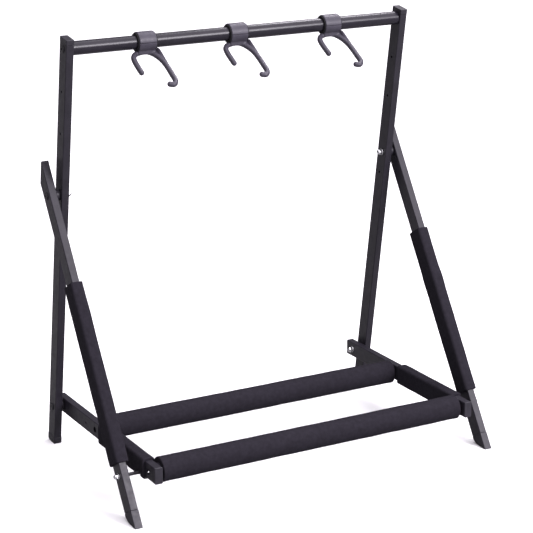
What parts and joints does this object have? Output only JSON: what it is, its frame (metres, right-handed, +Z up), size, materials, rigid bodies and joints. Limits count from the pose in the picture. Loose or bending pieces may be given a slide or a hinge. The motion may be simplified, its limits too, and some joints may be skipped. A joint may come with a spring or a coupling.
{
  "type": "guitar rack",
  "caption": "Folding floor rack for guitars: a leaning metal frame with clip-on neck hooks on a round top bar, padded front legs and a padded base that lifts and folds flat.",
  "frame": {"origin": "on the floor, under the middle of the rack's bounding box", "axes": "+X along the rack to the right as seen from the front, +Y to the rear, -Y to the front where the padded legs stand, +Z up"},
  "size_m": [0.7718, 0.4424, 0.8044],
  "materials": {
    "powder_coat": "satin black powder coat on steel tube",
    "gloss_coat": "glossier black coat on round steel tube",
    "foam": "matt black closed-cell foam",
    "black_plastic": "moulded black plastic, fine grain",
    "hook_plastic": "moulded dark grey plastic, fine grain",
    "liner_rubber": "matt black rubber",
    "black_steel": "blackened steel",
    "bright_steel": "bright zinc or nickel plate"
  },
  "bodies": {
    "back_frame": {"left_upright": "powder_coat", "left_upright_top_cap": "black_plastic", "left_upright_foot": "black_plastic", "left_top_bar_insert": "black_plastic", "left_top_bar_bolt": "black_steel", "left_leg_pivot_bolt": "black_steel", "left_leg_pivot_cap_nut": "bright_steel", "left_leg_pivot_spacer": "black_plastic", "left_base_pivot_bolt": "black_steel", "left_base_pivot_cap_nut": "bright_steel", "left_base_pivot_spacer": "black_plastic", "right_upright": "powder_coat", "right_upright_top_cap": "black_plastic", "right_upright_foot": "black_plastic", "right_top_bar_insert": "black_plastic", "right_top_bar_bolt": "black_steel", "right_leg_pivot_bolt": "black_steel", "right_leg_pivot_cap_nut": "bright_steel", "right_leg_pivot_spacer": "black_plastic", "right_base_pivot_bolt": "black_steel", "right_base_pivot_cap_nut": "bright_steel", "right_base_pivot_spacer": "black_plastic", "top_bar": "gloss_coat"},
    "base_frame": {"left_arm": "powder_coat", "left_arm_front_cap": "black_plastic", "left_arm_rear_cap": "black_plastic", "left_arm_foam": "foam", "right_arm": "powder_coat", "right_arm_front_cap": "black_plastic", "right_arm_rear_cap": "black_plastic", "right_arm_foam": "foam", "rear_crossbar": "powder_coat", "rear_crossbar_foam": "foam", "rear_crossbar_left_screw": "black_steel", "rear_crossbar_right_screw": "black_steel", "front_crossbar": "powder_coat", "front_crossbar_foam": "foam", "front_crossbar_left_screw": "black_steel", "front_crossbar_right_screw": "black_steel"},
    "left_leg": {"left_leg": "powder_coat", "left_leg_top_cap": "black_plastic", "left_leg_foot": "black_plastic", "left_leg_foam": "foam", "left_base_rest_rod": "black_steel", "left_base_rest_cap_nut": "bright_steel"},
    "right_leg": {"right_leg": "powder_coat", "right_leg_top_cap": "black_plastic", "right_leg_foot": "black_plastic", "right_leg_foam": "foam", "right_base_rest_rod": "black_steel", "right_base_rest_cap_nut": "bright_steel"},
    "left_hook_slider": {"left_hook_liner": "liner_rubber"},
    "left_hook": {"left_hook_fork": "hook_plastic", "left_hook_clamp": "hook_plastic"},
    "middle_hook_slider": {"middle_hook_liner": "liner_rubber"},
    "middle_hook": {"middle_hook_fork": "hook_plastic", "middle_hook_clamp": "hook_plastic"},
    "right_hook_slider": {"right_hook_liner": "liner_rubber"},
    "right_hook": {"right_hook_fork": "hook_plastic", "right_hook_clamp": "hook_plastic"}
  },
  "joints": [
    {"name": "base_fold", "type": "hinge", "parent": "back_frame", "child": "base_frame", "pos_m": [0, 0.19664, 0.07629], "axis": [-1, 0, 0], "range_deg": [0, 80.9]},
    {"name": "left_leg_fold", "type": "hinge", "parent": "back_frame", "child": "left_leg", "pos_m": [0, 0.13733, 0.50924], "axis": [1, 0, 0], "range_deg": [0, 41.6]},
    {"name": "right_leg_fold", "type": "hinge", "parent": "back_frame", "child": "right_leg", "pos_m": [0, 0.13733, 0.50924], "axis": [1, 0, 0], "range_deg": [0, 41.6]},
    {"name": "left_hook_slide", "type": "slide", "parent": "back_frame", "child": "left_hook_slider", "axis": [1, 0, 0], "range_m": [-0.045, 0.045]},
    {"name": "left_hook_turn", "type": "hinge", "parent": "left_hook_slider", "child": "left_hook", "pos_m": [-0.1955, 0.09988, 0.78269], "axis": [1, 0, 0], "range_deg": [-45, 65]},
    {"name": "middle_hook_slide", "type": "slide", "parent": "back_frame", "child": "middle_hook_slider", "axis": [1, 0, 0], "range_m": [-0.045, 0.045]},
    {"name": "middle_hook_turn", "type": "hinge", "parent": "middle_hook_slider", "child": "middle_hook", "pos_m": [-0.01, 0.09988, 0.78269], "axis": [1, 0, 0], "range_deg": [-45, 65]},
    {"name": "right_hook_slide", "type": "slide", "parent": "back_frame", "child": "right_hook_slider", "axis": [1, 0, 0], "range_m": [-0.045, 0.045]},
    {"name": "right_hook_turn", "type": "hinge", "parent": "right_hook_slider", "child": "right_hook", "pos_m": [0.1895, 0.09988, 0.78269], "axis": [1, 0, 0], "range_deg": [-45, 65]}
  ],
  "couplings": [
    {"joint": "left_leg_fold", "follows": "base_fold", "ratio": 0.51298},
    {"joint": "right_leg_fold", "follows": "base_fold", "ratio": 0.51298}
  ]
}
